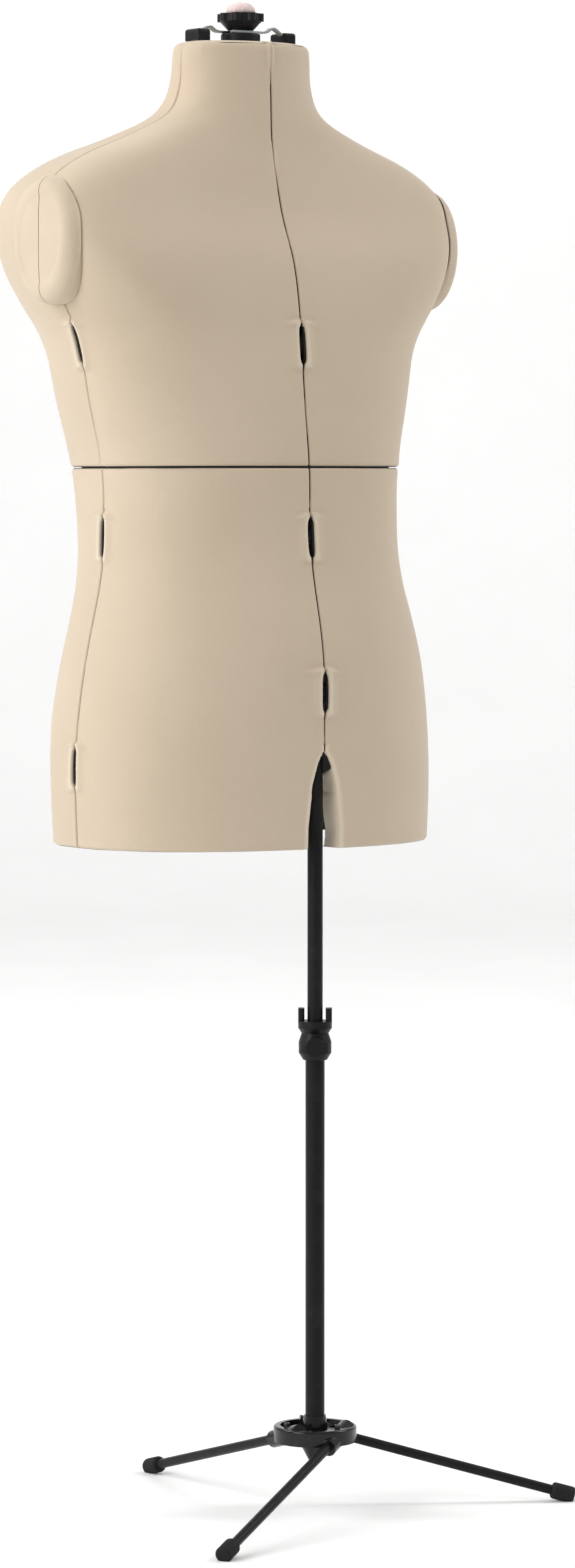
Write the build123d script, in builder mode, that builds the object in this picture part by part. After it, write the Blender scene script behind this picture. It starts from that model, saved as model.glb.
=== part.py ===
from build123d import *
import os
from math import copysign, cos, hypot, pi, radians, sin

# An adjustable dress form (a headless torso) on a telescopic pole with a three-legged base.
# Millimetres, +Z up, front towards -Y, the form's own left towards +X.
# The origin is on the floor under the middle of the whole object.

os.makedirs("parts", exist_ok=True)

# ---- where the two upright axes stand ----
BODY_Y = 63.0  # upright axis of the torso
POLE_AHEAD = 134.0  # the pole rises this far in front of the torso's axis
POLE_Y = BODY_Y - POLE_AHEAD

# ---- the torso's shape: height, half width, depth in front and depth behind its axis ----
HEM_Z = 670.0
WAIST_SEAM_Z = 1051.0
NECK_TOP_Z = 1479.0
TORSO_SLICES = [
    (650.0, 197.0, 150.0, 130.0),
    (735.0, 200.0, 152.0, 134.0),
    (795.0, 197.0, 152.0, 139.0),
    (855.0, 188.0, 151.0, 132.0),
    (896.0, 179.0, 144.0, 125.0),
    (936.0, 170.0, 134.0, 124.0),
    (980.0, 166.0, 127.0, 128.0),
    (1051.0, 168.0, 125.0, 144.0),
    (1120.0, 183.0, 117.0, 158.0),
    (1180.0, 196.0, 111.0, 167.0),
    (1221.0, 215.0, 106.0, 170.0),
    (1261.0, 230.0, 96.0, 170.0),
    (1302.0, 237.0, 78.0, 164.0),
    (1332.0, 229.0, 69.0, 153.0),
    (1358.0, 192.0, 62.0, 133.0),
    (1383.0, 136.0, 58.0, 106.0),
    (1405.0, 91.0, 57.0, 76.0),
    (1428.0, 76.0, 56.0, 56.0),
    (1479.0, 69.0, 54.0, 46.0),
]
FRONT_POWER = 2.3  # squareness of a slice, 2 is an ellipse
BACK_POWER = 2.6
SHOULDER_POWER = 1.3  # added at the shoulders, whose ends are flatter
SHOULDER_Z = 1280.0
SHOULDER_SPAN = 120.0
SLICE_RISE = 36.0  # about this far between the slices of a loft
QUARTER_STEPS = 6  # spans along a quarter of a slice

COVER = 2.0  # foam-backed cloth
WALL = 3.0  # moulded shell
LID_SUNK = 0.3  # the neck's lid lies this far below its rim
SEAM = 1.0  # gap between two panels that part sideways
WAIST_GAP = 1.2  # gap between the upper and the lower panels
BEYOND = 600.0  # larger than the torso, for cutting

# ---- how far the panels part ----
CARRIER_TRAVEL = 20.0

# ---- adjusters: a thumb-wheel in a slot across each seam ----
CHEST_Z = 1173.0
WAIST_Z = 980.0
HIP_Z = 826.0
SIDE_HIP_Z = 751.0
SLOT_WIDTH = 6.0
SLOT_HEIGHT = 40.0
WHEEL_R = 18.0
WHEEL_THICK = 4.0
WHEEL_SUNK = 3.0  # rim of the wheel below the cloth
SPINDLE_R = 3.0
SPINDLE_CLEAR = 0.05
SPINDLE_LONG = 60.0
SPINDLE_SHORT = 14.0
LUG_NEAR = 5.0
LUG_FAR = 17.0
LUG_REACH = 9.0  # lug past the spindle's axis, towards the inside
LUG_HALF_HEIGHT = 9.0

# ---- inner frame ----
MAST_R = 10.0
MAST_BORE_R = 8.0
MAST_LOW_Z = 774.0
MAST_HIGH_Z = 1350.0
BRACKET_LOW_Z = 774.0
BRACKET_HIGH_Z = 804.0
SOCKET_R = 10.5
LOWER_RAIL_Z = 880.0
UPPER_RAIL_Z = 1276.0
RAIL_R = 5.0
RAIL_CLEAR = 0.05
RAIL_START = 16.0
CROSSBAR_X = 120.0
CROSSBAR_HALF = 60.0
BOSS_START = 28.0
BOSS_R = 9.0
HANGER_REACH = 44.0
HANGER_HALF = 9.0
SLEEVE_R = 13.5
SLEEVE_LOW_Z = 1150.0
SLEEVE_BORE_TOP_Z = 1412.0

# ---- neck fittings ----
NECK_POST_X = 52.0
NECK_POST_R = 4.0
NECK_HOLE_R = 17.0
DISC_R = 20.0
DISC_LOW_Z = NECK_TOP_Z + 1.5
DISC_HIGH_Z = 1490.0
ARM_STRIP_WIDE = 7.0
ARM_STRIP_THICK = 2.2
KNOB_LOW_Z = 1493.2
KNOB_HIGH_Z = 1510.0
KNOB_R = 24.0
KNOB_STEM_R = 13.0
CUSHION_R = 15.5

# ---- pole ----
UPPER_TUBE_R = 7.75
UPPER_TUBE_BORE_R = 6.25
UPPER_TUBE_LOW_Z = 320.0
UPPER_TUBE_HIGH_Z = 802.0
LOWER_TUBE_R = 9.75
LOWER_TUBE_BORE_R = 7.8
LOWER_TUBE_HIGH_Z = 470.0
COLLAR_LOW_Z = 457.0
COLLAR_HIGH_Z = 484.0
COLLAR_R = 16.5
CROWN_HIGH_Z = 509.0
CROWN_R = 17.0
KNOB_TURN = -124.5  # bearing of the clamp knob, degrees from +X
CLAMP_KNOB_Z = 472.0

# ---- base ----
HUB_R = 42.0
HUB_LOW_Z = 71.0
HUB_HIGH_Z = 87.0
HUB_RECESS_R = 35.0
HUB_RECESS_Z = 82.0
HUB_BOSS_R = 14.0
HUB_BOSS_HIGH_Z = 97.0
LEG_R = 5.0
LEG_SIDE = 28.7  # each leg passes this far to one side of the pole's axis
LEG_SPREAD = 257.0  # from there out to the foot
LEG_ROOT_S = -12.0
LEG_ROOT_Z = 82.7  # leg's centre line there
FOOT_R = 8.5
FOOT_Z = 8.0
FOOT_LONG = 24.0
LEG_BEARINGS = {"leg_rear": 90.0, "leg_right": 210.0, "leg_left": 330.0}

# ---- details shared by the sections above ----
ARCH_HALF = 20.0  # half width of the arch that the pole comes out of
ARCH_TOP_Z = 768.0
FLANGE_THICK = 3.0
FLANGE_DEEP = 28.0
FLANGE_TOP_Z = 745.0
CAP_ROOT_X = 205.0
CAP_FACE_X = 241.0
CAP_Z = 1276.0
CAP_HALF_DEEP = 54.0
CAP_HALF_TALL = 64.0
CAP_ROUND = 8.0
STUD_R = 3.05
STUD_LONG = 50.0
KNOB_FLARE_Z = 1502.0
KNOB_LOBES = 8
CUSHION_TALL = 12.0
BAR_LOW_Z = 1480.5
BAR_WIDE = 16.0
BAR_LONG = 26.0
BAR_TALL = 12.0
ARCH_STRIP_X = 33.0
ARCH_STRIP_Z = 1495.0
STRIP_START = -15.0
CLAMP_STUD_R = 3.0
CLAMP_KNOB_R = 9.5
HUB_HOLE_AT = 25.0
HUB_HOLE_TURN = 0.0
HUB_CONE_TALL = 21.0
HUB_SOCKET_LONG = 48.0
SCREW_S = 8.0
SCREW_R = 3.0
SCREW_LONG = 7.0
WHEEL_FLUTES = 18

pole_floor = Plane((0, POLE_Y, 0))
body_floor = Plane((0, BODY_Y, 0))


def save(piece, name):
    """Label one finished piece and write it as its own STEP file."""
    piece.part.label = name
    export_step(piece.part, f"parts/{name}.step")


def slice_at(height):
    """Half width, front depth and back depth at a height, and how fast each changes with it."""
    rows = [TORSO_SLICES[0]] + TORSO_SLICES + [TORSO_SLICES[-1]]
    for before, low, high, after in zip(rows, rows[1:], rows[2:], rows[3:]):
        if not low[0] <= height <= high[0]:
            continue
        rise = high[0] - low[0]
        t = (height - low[0]) / rise
        sizes, slopes = [], []
        for column in (1, 2, 3):
            # a cubic through both rows, with the slopes of their neighbours
            m0 = (high[column] - before[column]) / (high[0] - before[0]) * rise
            m1 = (after[column] - low[column]) / (after[0] - low[0]) * rise
            step = high[column] - low[column]
            sizes.append(low[column] + t * (m0 + t * (3 * step - 2 * m0 - m1 + t * (m0 + m1 - 2 * step))))
            slopes.append((m0 + 2 * t * (3 * step - 2 * m0 - m1) + 3 * t * t * (m0 + m1 - 2 * step)) / rise)
        return sizes, slopes
    raise ValueError(height)


def power_at(end, height):
    """Squareness of a slice's front or back, greatest at the shoulders."""
    base = FRONT_POWER if end == "front" else BACK_POWER
    away = min(1, abs(height - SHOULDER_Z) / SHOULDER_SPAN)
    return base + SHOULDER_POWER * (1 + cos(pi * away)) / 2


def quarter_points(height, end, side, inset):
    """Points along a quarter of a slice, from its front or back seam round to its side seam."""
    (half_width, front, back), (slope_side, slope_front, slope_back) = slice_at(height)
    depth, slope = (front, slope_front) if end == "front" else (back, slope_back)
    power = power_at(end, height)
    # a wall that leans is inset further, so that its thickness is right square to its face
    reach_x = half_width - inset * hypot(1, slope_side) - SEAM / 2
    reach_y = depth - inset * hypot(1, slope) - SEAM / 2
    across = 1 if side == "left" else -1
    ahead = -1 if end == "front" else 1
    points = []
    for step in range(QUARTER_STEPS + 1):
        turn = pi / 2 * (1 - step / QUARTER_STEPS)
        x = SEAM / 2 + reach_x * cos(turn) ** (2 / power)
        y = SEAM / 2 + reach_y * sin(turn) ** (2 / power)
        points.append((across * x, ahead * y))
    return points


def quarter_heights(level):
    """The slices that one level's panels are lofted through."""
    low, high = (HEM_Z, WAIST_SEAM_Z - WAIST_GAP / 2)
    if level == "upper":
        low, high = (WAIST_SEAM_Z + WAIST_GAP / 2, NECK_TOP_Z)
    spans = round((high - low) / SLICE_RISE)
    return [low + (high - low) * step / spans for step in range(spans + 1)]


def quarter_wall(level, end, side, outer_inset, inner_inset):
    """One panel's wall between two insets of the torso's skin, closed over at the neck's top."""
    corner = quarter_points(HEM_Z, end, side, 0)
    corner = (copysign(SEAM / 2, corner[-1][0]), copysign(SEAM / 2, corner[0][1]))
    with BuildPart() as wall:
        for height in quarter_heights(level):
            outer = quarter_points(height, end, side, outer_inset)
            inner = quarter_points(height, end, side, inner_inset)
            across = 1 if side == "left" else -1
            ahead = -1 if end == "front" else 1
            with BuildSketch(body_floor.offset(height)):
                with BuildLine():
                    Spline(*outer, tangents=[(across, 0), (0, -ahead)])
                    Line(outer[-1], inner[-1])
                    Spline(*inner, tangents=[(across, 0), (0, -ahead)])
                    Line(inner[0], outer[0])
                make_face()
        loft()
        if level == "upper":
            lid = quarter_points(NECK_TOP_Z, end, side, (outer_inset + inner_inset) / 2)
            with BuildSketch(body_floor.offset(NECK_TOP_Z - LID_SUNK - inner_inset)):
                with BuildLine():
                    Spline(*lid, tangents=[(across, 0), (0, -ahead)])
                    Polyline(lid[-1], corner, lid[0])
                make_face()
            extrude(amount=inner_inset - outer_inset)
            if outer_inset:
                with BuildSketch(body_floor.offset(NECK_TOP_Z - LID_SUNK - outer_inset)):
                    Rectangle(BEYOND, BEYOND)
                extrude(amount=BEYOND, mode=Mode.SUBTRACT)
    return wall.part


def quarter_solid(level, end, side, inset):
    """One quarter of the torso as a solid, its skin moved inwards by inset."""
    corner = quarter_points(HEM_Z, end, side, 0)
    corner = (copysign(SEAM / 2, corner[-1][0]), copysign(SEAM / 2, corner[0][1]))
    across = 1 if side == "left" else -1
    ahead = -1 if end == "front" else 1
    with BuildPart() as space:
        for height in quarter_heights(level):
            outline = quarter_points(height, end, side, inset)
            with BuildSketch(body_floor.offset(height)):
                with BuildLine():
                    Spline(*outline, tangents=[(across, 0), (0, -ahead)])
                    Polyline(outline[-1], corner, outline[0])
                make_face()
        loft()
    return space.part


# ---- adjuster places: level, side of the torso, height ----
ADJUSTERS = [
    ("chest", "front", CHEST_Z),
    ("chest", "back", CHEST_Z),
    ("chest", "left", CHEST_Z),
    ("chest", "right", CHEST_Z),
    ("waist", "front", WAIST_Z),
    ("waist", "back", WAIST_Z),
    ("waist", "left", WAIST_Z),
    ("waist", "right", WAIST_Z),
    ("hip", "front", HIP_Z),
    ("hip", "back", HIP_Z),
    ("hip", "left", SIDE_HIP_Z),
    ("hip", "right", SIDE_HIP_Z),
]
OUTWARDS = {"front": (0, -1, 0), "back": (0, 1, 0), "left": (1, 0, 0), "right": (-1, 0, 0)}
# each wheel's journal points into the panel that carries the wheel
JOURNAL = {"front": (1, 0, 0), "back": (1, 0, 0), "left": (0, -1, 0), "right": (0, -1, 0)}


def spindle_centre(where, height):
    """Centre of an adjuster's wheel, sunk below the cloth at its seam."""
    (half_width, front, back), _ = slice_at(height)
    skin = {"front": front, "back": back, "left": half_width, "right": half_width}[where]
    return Vector(0, BODY_Y, height) + Vector(*OUTWARDS[where]) * (skin - WHEEL_SUNK - WHEEL_R)


# every adjuster slot, the pole's arch and the inner frame's holes, cut from cloth and shell alike
with BuildPart() as openings:
    for _, where, height in ADJUSTERS:
        with BuildSketch(Plane(spindle_centre(where, height), (0, 0, 1), OUTWARDS[where])):
            SlotOverall(SLOT_HEIGHT, SLOT_WIDTH)
        extrude(amount=2 * WHEEL_R)
    with BuildSketch(Plane((0, BODY_Y, HEM_Z), (1, 0, 0), (0, -1, 0))):
        with Locations((0, (ARCH_TOP_Z - HEM_Z - ARCH_HALF) / 2)):
            Rectangle(2 * ARCH_HALF, ARCH_TOP_Z - HEM_Z - ARCH_HALF)
        with Locations((0, ARCH_TOP_Z - HEM_Z - ARCH_HALF)):
            Circle(ARCH_HALF)
    extrude(amount=BEYOND)
    with BuildSketch(body_floor.offset(NECK_TOP_Z - 2 * WALL - COVER)):
        Circle(NECK_HOLE_R)
        with Locations((NECK_POST_X, 0), (-NECK_POST_X, 0)):
            Circle(NECK_POST_R + COVER)
    extrude(amount=4 * WALL)


def lug(where, height, carries_wheel, space):
    """One panel's spindle block, reaching in from the wall and trimmed to the shell."""
    out = Vector(*OUTWARDS[where])
    along = Vector(*JOURNAL[where]) * (1 if carries_wheel else -1)
    length = WHEEL_R + WHEEL_SUNK + LUG_REACH
    place = spindle_centre(where, height) + along * (LUG_NEAR + LUG_FAR) / 2
    place += out * (length / 2 - LUG_REACH)
    with BuildPart() as block:
        with Locations(Plane(place, out, along)):
            Box(length, 2 * LUG_HALF_HEIGHT, LUG_FAR - LUG_NEAR)
        add(space, mode=Mode.INTERSECT)
    return block.part


def rail_boss(level, end, side, space):
    """The socket tube that slides on the end of a crossbar, trimmed to the shell."""
    height = LOWER_RAIL_Z if level == "lower" else UPPER_RAIL_Z
    x = CROSSBAR_X if side == "left" else -CROSSBAR_X
    ahead = -1 if end == "front" else 1
    with BuildPart() as boss:
        with BuildSketch(Plane((x, BODY_Y + ahead * BOSS_START, height), (1, 0, 0), (0, ahead, 0))):
            Circle(BOSS_R)
        extrude(amount=BEYOND)
        add(space, mode=Mode.INTERSECT)
    return boss.part


def arch_flange(side, space):
    """The turned-in strip down one side of the pole's arch."""
    inner = ARCH_HALF if side == "left" else -ARCH_HALF - FLANGE_THICK
    front = slice_at(HEM_Z)[0][1]
    place = Plane((inner + FLANGE_THICK / 2, BODY_Y - front, (HEM_Z + FLANGE_TOP_Z) / 2))
    with BuildPart() as strip:
        with Locations(place):
            Box(FLANGE_THICK, 2 * FLANGE_DEEP, FLANGE_TOP_Z - HEM_Z)
        add(space, mode=Mode.INTERSECT)
    return strip.part


def make_shell(level, end, side):
    """One moulded panel with its spindle lugs, its rail socket and its share of the arch."""
    names = ("chest",) if level == "upper" else ("waist", "hip")
    crossing = [a for a in ADJUSTERS if a[0] in names and a[1] in (end, side)]
    space = quarter_solid(level, end, side, COVER + 0.5)
    with BuildPart() as shell:
        add(quarter_wall(level, end, side, COVER, COVER + WALL))
        add(openings.part, mode=Mode.SUBTRACT)
        add(rail_boss(level, end, side, space))
        if (level, end) == ("lower", "front"):
            add(arch_flange(side, space))
        for _, where, height in crossing:
            carries_wheel = side == "left" if where == end else end == "front"
            add(lug(where, height, carries_wheel, space))
        for _, where, height in crossing:
            with BuildSketch(Plane(spindle_centre(where, height), (0, 0, 1), JOURNAL[where])):
                Circle(SPINDLE_R + SPINDLE_CLEAR)
            extrude(amount=LUG_FAR, both=True, mode=Mode.SUBTRACT)
        height = LOWER_RAIL_Z if level == "lower" else UPPER_RAIL_Z
        x = CROSSBAR_X if side == "left" else -CROSSBAR_X
        with BuildSketch(Plane((x, BODY_Y, height), (1, 0, 0), (0, 1, 0))):
            Circle(RAIL_R + RAIL_CLEAR)
        extrude(amount=CROSSBAR_HALF + 3, both=True, mode=Mode.SUBTRACT)
    save(shell, f"{level}_{end}_{side}_shell")


def make_cover(level, end, side):
    """The cloth over one panel."""
    with BuildPart() as cover:
        add(quarter_wall(level, end, side, 0, COVER))
        add(openings.part, mode=Mode.SUBTRACT)
    save(cover, f"{level}_{end}_{side}_cover")


for level in ("lower", "upper"):
    for end in ("front", "back"):
        for side in ("left", "right"):
            make_shell(level, end, side)
            make_cover(level, end, side)


def make_wheel(name, where, height):
    """A fluted thumb-wheel moulded on its spindle."""
    place = Plane(spindle_centre(where, height), (0, 0, 1), JOURNAL[where])
    with BuildPart() as wheel:
        with BuildSketch(place):
            Circle(WHEEL_R)
            with PolarLocations(WHEEL_R + 0.4, WHEEL_FLUTES):
                Circle(1.2, mode=Mode.SUBTRACT)
        extrude(amount=WHEEL_THICK / 2, both=True)
        with BuildSketch(place.offset(-SPINDLE_LONG)):
            Circle(SPINDLE_R)
        extrude(amount=SPINDLE_LONG + SPINDLE_SHORT)
    save(wheel, f"{name}_{where}_wheel")


for name, where, height in ADJUSTERS:
    make_wheel(name, where, height)


# ---- inner frame ----
with BuildPart() as pole_bracket:
    bracket_floor = BRACKET_LOW_Z
    with BuildSketch(pole_floor.offset(bracket_floor)):
        Circle(SOCKET_R)
    with BuildSketch(body_floor.offset(bracket_floor)):
        Circle(MAST_R + 6)
    extrude(amount=BRACKET_HIGH_Z - bracket_floor)
    with BuildSketch(Plane((0, BODY_Y - POLE_AHEAD / 2, bracket_floor + 6))):
        Rectangle(14, POLE_AHEAD)
    extrude(amount=20)
    with BuildSketch(pole_floor.offset(bracket_floor)):
        Circle(UPPER_TUBE_R + RAIL_CLEAR)
    extrude(amount=UPPER_TUBE_HIGH_Z - bracket_floor, mode=Mode.SUBTRACT)
    with BuildSketch(body_floor.offset(bracket_floor + 4)):
        Circle(MAST_R)
    extrude(amount=BRACKET_HIGH_Z, mode=Mode.SUBTRACT)
save(pole_bracket, "pole_bracket")

with BuildPart() as mast:
    with BuildSketch(body_floor.offset(BRACKET_LOW_Z + 4)):
        Circle(MAST_R)
        Circle(MAST_BORE_R, mode=Mode.SUBTRACT)
    extrude(amount=MAST_HIGH_Z - BRACKET_LOW_Z - 4)
save(mast, "centre_mast")


def rail_arms(height):
    """Arms both ways along X."""
    with BuildPart() as arms:
        with BuildSketch(Plane((0, BODY_Y, height), (0, 1, 0), (1, 0, 0))):
            RectangleRounded(2 * HANGER_HALF, 2 * HANGER_HALF, 3)
        extrude(amount=HANGER_REACH, both=True)
    return arms.part


def rail_bores(height):
    """The bores in rail_arms, one each way, that the side carriers' rails slide in."""
    with BuildPart() as bores:
        for across in (1, -1):
            start = Plane((across * (RAIL_START - 1), BODY_Y, height), (0, 1, 0), (across, 0, 0))
            with BuildSketch(start):
                Circle(RAIL_R + RAIL_CLEAR)
            extrude(amount=HANGER_REACH)
    return bores.part


with BuildPart() as lower_hanger:
    with BuildSketch(body_floor.offset(LOWER_RAIL_Z - 14)):
        Circle(MAST_R + 5)
    extrude(amount=28)
    add(rail_arms(LOWER_RAIL_Z))
    add(rail_bores(LOWER_RAIL_Z), mode=Mode.SUBTRACT)
    with BuildSketch(body_floor.offset(LOWER_RAIL_Z - 20)):
        Circle(MAST_R)
    extrude(amount=40, mode=Mode.SUBTRACT)
save(lower_hanger, "lower_hanger")

with BuildPart() as upper_hanger:
    with BuildSketch(body_floor.offset(SLEEVE_LOW_Z)):
        Circle(SLEEVE_R)
    extrude(amount=NECK_TOP_Z + 1.5 - SLEEVE_LOW_Z)
    add(rail_arms(UPPER_RAIL_Z))
    add(rail_bores(UPPER_RAIL_Z), mode=Mode.SUBTRACT)
    with BuildSketch(body_floor.offset(SLEEVE_LOW_Z)):
        Circle(MAST_R + RAIL_CLEAR)
    extrude(amount=SLEEVE_BORE_TOP_Z - SLEEVE_LOW_Z, mode=Mode.SUBTRACT)
    with BuildSketch(body_floor.offset(SLEEVE_BORE_TOP_Z)):
        Circle(STUD_R)
    extrude(amount=BEYOND, mode=Mode.SUBTRACT)
save(upper_hanger, "upper_hanger")


def make_carrier(level, side):
    """A side carrier: rail into the hanger, crossbar for two panels and, above, the neck post."""
    across = 1 if side == "left" else -1
    height = LOWER_RAIL_Z if level == "lower" else UPPER_RAIL_Z
    with BuildPart() as carrier:
        with BuildSketch(Plane((across * RAIL_START, BODY_Y, height), (0, 1, 0), (across, 0, 0))):
            Circle(RAIL_R)
        extrude(amount=CROSSBAR_X - RAIL_START)
        with BuildSketch(Plane((across * CROSSBAR_X, BODY_Y, height), (1, 0, 0), (0, 1, 0))):
            Circle(RAIL_R)
        extrude(amount=CROSSBAR_HALF, both=True)
        if level == "upper":
            with BuildSketch(Plane((across * NECK_POST_X, BODY_Y, height))):
                Circle(NECK_POST_R)
            extrude(amount=BAR_LOW_Z - height)
    save(carrier, f"{level}_{side}_carrier")


for level in ("lower", "upper"):
    for side in ("left", "right"):
        make_carrier(level, side)


def make_arm_cap(end, side):
    """Half of the rounded cap that closes a shoulder, seated on its panel's cloth."""
    across = 1 if side == "left" else -1
    ahead = -1 if end == "front" else 1
    root = Plane((across * CAP_ROOT_X, BODY_Y, CAP_Z), (0, 1, 0), (across, 0, 0))
    with BuildPart() as cap:
        with BuildSketch(root):
            Ellipse(CAP_HALF_DEEP, CAP_HALF_TALL)
        extrude(amount=CAP_FACE_X - CAP_ROOT_X)
        fillet(cap.faces().sort_by(Axis.X)[-1 if side == "left" else 0].edges(), CAP_ROUND)
        with BuildSketch(Plane((0, BODY_Y + ahead * SEAM / 2, 0), (1, 0, 0), (0, -ahead, 0))):
            Rectangle(4 * BEYOND, 4 * BEYOND * 2)
        extrude(amount=BEYOND, mode=Mode.SUBTRACT)
        add(quarter_solid("upper", end, side, 0), mode=Mode.SUBTRACT)
    save(cap, f"arm_cap_{end}_{side}")


for end in ("front", "back"):
    for side in ("left", "right"):
        make_arm_cap(end, side)

# ---- neck fittings ----
with BuildPart() as neck_disc:
    with BuildSketch(body_floor.offset(DISC_LOW_Z)):
        Circle(DISC_R)
        Circle(STUD_R + 0.2, mode=Mode.SUBTRACT)
    extrude(amount=DISC_HIGH_Z - DISC_LOW_Z)
    fillet(neck_disc.edges().filter_by(GeomType.CIRCLE).group_by(SortBy.RADIUS)[-1], 2)
save(neck_disc, "neck_disc")

with BuildPart() as neck_knob:
    with BuildSketch(body_floor.offset(KNOB_LOW_Z)):
        Circle(KNOB_STEM_R)
    with BuildSketch(body_floor.offset(KNOB_FLARE_Z)):
        Circle(KNOB_R - 3)
    loft()
    with BuildSketch(body_floor.offset(KNOB_FLARE_Z)):
        Circle(KNOB_R - 3)
        with PolarLocations(KNOB_R - 5, KNOB_LOBES):
            Circle(5)
    extrude(amount=KNOB_HIGH_Z - KNOB_FLARE_Z)
    with BuildSketch(body_floor.offset(KNOB_LOW_Z - STUD_LONG)):
        Circle(STUD_R - RAIL_CLEAR)
    extrude(amount=STUD_LONG)
save(neck_knob, "neck_knob")

with BuildPart() as pin_cushion:
    with BuildSketch(Plane((0, BODY_Y, KNOB_HIGH_Z), (1, 0, 0), (0, -1, 0))):
        with BuildLine():
            Line((0, 0), (CUSHION_R, 0))
            Spline((CUSHION_R, 0), (0, CUSHION_TALL), tangents=[(0, 1), (-1, 0)])
            Line((0, CUSHION_TALL), (0, 0))
        make_face()
    revolve(axis=Axis((0, BODY_Y, 0), (0, 0, 1)))
save(pin_cushion, "pin_cushion")


def make_neck_side(side):
    """One neck bar on its post, and the arched strip that runs from it under the knob."""
    across = 1 if side == "left" else -1
    lane = across * (STUD_R + 0.6 + ARM_STRIP_WIDE / 2)
    with BuildPart() as bar:
        with BuildSketch(Plane((across * NECK_POST_X, BODY_Y, BAR_LOW_Z))):
            RectangleRounded(BAR_WIDE, BAR_LONG, 3)
        extrude(amount=BAR_TALL)
        outer = bar.faces().sort_by(Axis.Z)[-1].edges()
        fillet(outer, 3)
    save(bar, f"neck_bar_{side}")
    top = BAR_LOW_Z + BAR_TALL - ARM_STRIP_THICK - 1
    bar_edge = NECK_POST_X - BAR_WIDE / 2
    low = DISC_HIGH_Z + 0.4
    side_plane = Plane((0, BODY_Y - lane, 0), (across, 0, 0), (0, -across, 0))
    with BuildPart() as strip:
        with BuildSketch(side_plane):
            with BuildLine():
                for z_add in (0, ARM_STRIP_THICK):
                    Line((STRIP_START, low + z_add), (DISC_R + 1, low + z_add))
                    Spline(
                        (DISC_R + 1, low + z_add),
                        (ARCH_STRIP_X, ARCH_STRIP_Z + z_add),
                        (bar_edge, top + z_add),
                        tangents=[(1, 0), (1, -0.8)],
                    )
                Line((STRIP_START, low), (STRIP_START, low + ARM_STRIP_THICK))
                Line((bar_edge, top), (bar_edge, top + ARM_STRIP_THICK))
            make_face()
        extrude(amount=ARM_STRIP_WIDE / 2, both=True)
    save(strip, f"neck_strip_{side}")


for side in ("left", "right"):
    make_neck_side(side)

# ---- pole ----
with BuildPart() as upper_tube:
    with BuildSketch(pole_floor.offset(UPPER_TUBE_LOW_Z)):
        Circle(UPPER_TUBE_R)
        Circle(UPPER_TUBE_BORE_R, mode=Mode.SUBTRACT)
    extrude(amount=UPPER_TUBE_HIGH_Z - UPPER_TUBE_LOW_Z)
save(upper_tube, "upper_tube")

with BuildPart() as lower_tube:
    with BuildSketch(pole_floor.offset(HUB_LOW_Z)):
        Circle(LOWER_TUBE_R)
        Circle(LOWER_TUBE_BORE_R, mode=Mode.SUBTRACT)
    extrude(amount=LOWER_TUBE_HIGH_Z - HUB_LOW_Z)
save(lower_tube, "lower_tube")

with BuildPart() as clamp_collar:
    with BuildSketch(Plane((0, POLE_Y, 0), (1, 0, 0), (0, -1, 0))):
        with BuildLine():
            Polyline(
                (LOWER_TUBE_R, COLLAR_LOW_Z),
                (LOWER_TUBE_R + 2.5, COLLAR_LOW_Z),
                (COLLAR_R, COLLAR_LOW_Z + 7),
                (COLLAR_R, COLLAR_HIGH_Z - 9),
                (COLLAR_R - 3, COLLAR_HIGH_Z),
                (UPPER_TUBE_R + 0.4, COLLAR_HIGH_Z),
                (UPPER_TUBE_R + 0.4, LOWER_TUBE_HIGH_Z),
                (LOWER_TUBE_R, LOWER_TUBE_HIGH_Z),
                close=True,
            )
        make_face()
    revolve(axis=Axis((0, POLE_Y, 0), (0, 0, 1)))
    knob_out = Vector(cos(radians(KNOB_TURN)), sin(radians(KNOB_TURN)), 0)
    knob_seat = Vector(0, POLE_Y, CLAMP_KNOB_Z) + knob_out * 12
    with BuildSketch(Plane(knob_seat, (0, 0, 1), knob_out)):
        Circle(CLAMP_STUD_R + RAIL_CLEAR)
    extrude(amount=BEYOND, mode=Mode.SUBTRACT)
save(clamp_collar, "clamp_collar")

with BuildPart() as clamp_knob:
    with BuildSketch(Plane(knob_seat + knob_out * 5.2, (0, 0, 1), knob_out)):
        Circle(CLAMP_KNOB_R)
        with PolarLocations(CLAMP_KNOB_R + 1, 10):
            Circle(1.8, mode=Mode.SUBTRACT)
    extrude(amount=9)
    with BuildSketch(Plane(knob_seat + knob_out * 0.5, (0, 0, 1), knob_out)):
        Circle(CLAMP_STUD_R)
    extrude(amount=6)
save(clamp_knob, "clamp_knob")

with BuildPart() as wing_collar:
    with BuildSketch(pole_floor.offset(COLLAR_HIGH_Z + 0.3)):
        Circle(CROWN_R - 3)
    with BuildSketch(pole_floor.offset(COLLAR_HIGH_Z + 5)):
        Circle(CROWN_R)
    loft()
    with BuildSketch(pole_floor.offset(COLLAR_HIGH_Z + 5)):
        Circle(CROWN_R)
    extrude(amount=7)
    with BuildSketch(pole_floor.offset(COLLAR_HIGH_Z + 10)):
        with PolarLocations(CROWN_R - 3.2, 2, start_angle=KNOB_TURN + 90):
            RectangleRounded(6.4, 12, 2.5)
    extrude(amount=CROWN_HIGH_Z - COLLAR_HIGH_Z - 10)
    with BuildSketch(pole_floor.offset(COLLAR_HIGH_Z)):
        Circle(UPPER_TUBE_R + 0.4)
    extrude(amount=BEYOND, mode=Mode.SUBTRACT)
save(wing_collar, "wing_collar")

# ---- base ----


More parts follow.
